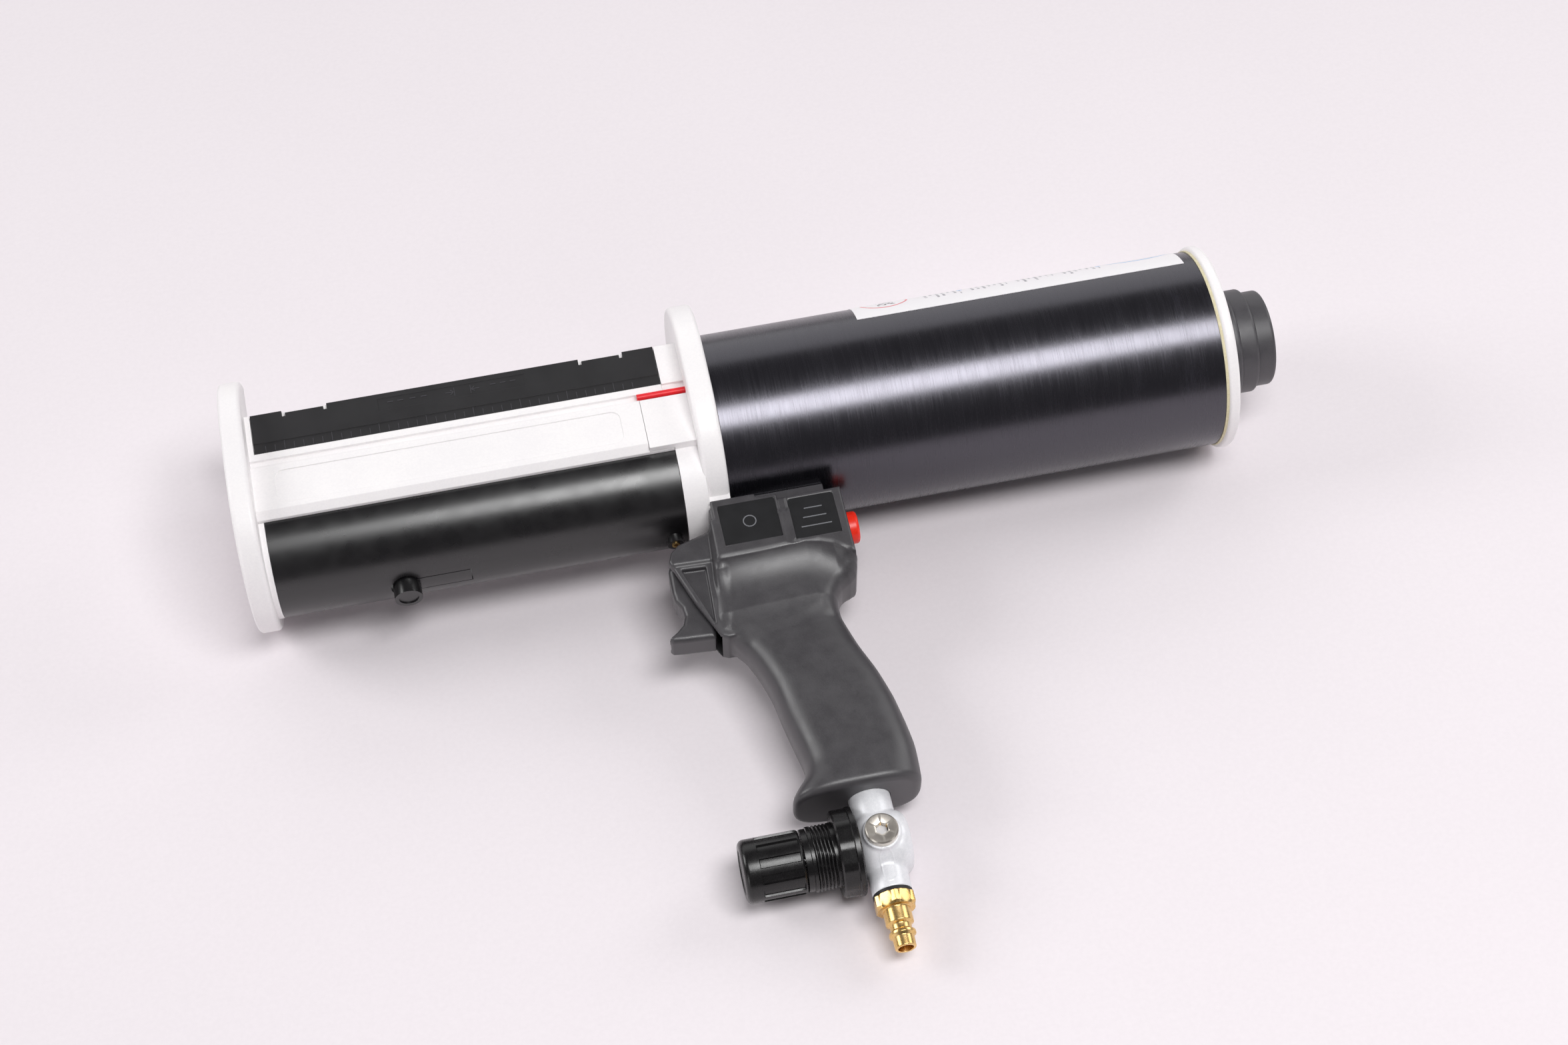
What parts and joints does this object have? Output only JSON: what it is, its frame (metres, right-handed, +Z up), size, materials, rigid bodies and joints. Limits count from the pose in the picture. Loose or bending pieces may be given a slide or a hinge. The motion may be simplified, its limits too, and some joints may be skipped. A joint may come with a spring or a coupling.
{
  "type": "pneumatic caulking gun",
  "caption": "Air-powered gun for side-by-side sealant cartridges: open cartridge bay, air barrel with twin plungers, trigger grip and pressure regulator.",
  "frame": {"origin": "on the bench, under the middle of the lying gun", "axes": "+X dispensing direction along the barrel; +Y towards the end of the grip; +Z up off the bench, out of the left side of the gun"},
  "size_m": [0.4744, 0.3243, 0.0952],
  "materials": {
    "white_casting": "satin powder coat",
    "clip_plastic": "fine matt",
    "sleeve_plastic": "semi-gloss moulded",
    "black_anodised": "black anodised, brushed round",
    "label_white": "printed film",
    "gasket": "matt",
    "black_rubber": "matt",
    "seal_rubber": "smooth",
    "clear_aluminium": "turned",
    "steel": "ground",
    "plunger_plastic": "moulded",
    "brass": "turned",
    "red_plastic": "gloss",
    "grip_nylon": "fine texture",
    "panel_film": "matt film",
    "silver_paint": "silver paint",
    "nickel": "nickel plate",
    "black_nylon": "moulded",
    "spring_steel": "drawn wire"
  },
  "bodies": {
    "frame": {"front_plate": "white_casting", "side_rail_left": "white_casting", "side_rail_right": "white_casting", "mid_flange": "white_casting", "scale_plate": "clip_plastic", "cover_plate": "clip_plastic", "cartridge_sleeve": "sleeve_plastic", "sleeve_insert": "brass", "plate_screws": "steel", "barrel": "black_anodised", "barrel_label": "label_white", "rear_gasket": "gasket", "rear_cap": "white_casting", "rear_bumper": "black_rubber", "rod_bushings": "brass", "rod_seals": "seal_rubber", "grip_housing": "grip_nylon", "label_panels": "panel_film", "grip_screws": "steel", "trigger_pin": "steel", "trigger_spring": "spring_steel", "valve_sleeve": "brass", "valve_seals": "seal_rubber", "button_spring": "spring_steel", "air_tube": "clear_aluminium", "regulator_body": "silver_paint", "neck_seal": "seal_rubber", "gauge_plugs": "nickel", "bonnet_nut": "black_nylon", "bonnet": "black_nylon", "regulator_spring": "spring_steel", "spring_plate": "steel", "diaphragm": "seal_rubber", "nipple_seal": "seal_rubber", "air_nipple": "brass"},
    "drive": {"piston": "clear_aluminium", "piston_seals": "seal_rubber", "piston_rods": "steel", "rod_nuts": "steel", "plunger_upper": "plunger_plastic", "plunger_lower": "plunger_plastic", "level_rod": "red_plastic"},
    "trigger_lever": {"trigger": "grip_nylon"},
    "spool": {"valve_spool": "steel"},
    "button": {"return_button": "red_plastic"},
    "latch": {"latch_button": "sleeve_plastic"},
    "knob_turn": {"knob": "black_nylon", "adjusting_screw": "steel"}
  },
  "joints": [
    {"name": "plunger_drive", "type": "slide", "parent": "frame", "child": "drive", "axis": [1, 0, 0], "range_m": [0, 0.165]},
    {"name": "trigger_pull", "type": "hinge", "parent": "frame", "child": "trigger_lever", "pos_m": [0.049, -0.03143, 0.03816], "axis": [0, 0.1296, 0.9916], "range_deg": [0, 9], "stiffness_Nm_per_rad": 0.9, "springref_deg": -6.88, "deforming": ["trigger_spring"]},
    {"name": "spool_push", "type": "slide", "parent": "frame", "child": "spool", "axis": [-1, 0, 0], "range_m": [0, 0.0019]},
    {"name": "return_push", "type": "slide", "parent": "frame", "child": "button", "axis": [1, 0, 0], "range_m": [0, 0.0032], "stiffness_N_per_m": 900, "springref_m": -0.002, "deforming": ["button_spring"]},
    {"name": "latch_press", "type": "hinge", "parent": "frame", "child": "latch", "pos_m": [0.1406, -0.04968, 0.04054], "axis": [0, -0.1296, -0.9916], "range_deg": [0, 4], "stiffness_Nm_per_rad": 0.8, "springref_deg": -2.86},
    {"name": "pressure_knob", "type": "hinge", "parent": "frame", "child": "knob_turn", "pos_m": [0.0262, 0.11512, 0.019], "axis": [1, 0, 0], "range_deg": [0, 1080]}
  ],
  "couplings": [
    {"joint": "spool_push", "follows": "trigger_pull", "m_per_rad": 0.0115}
  ]
}
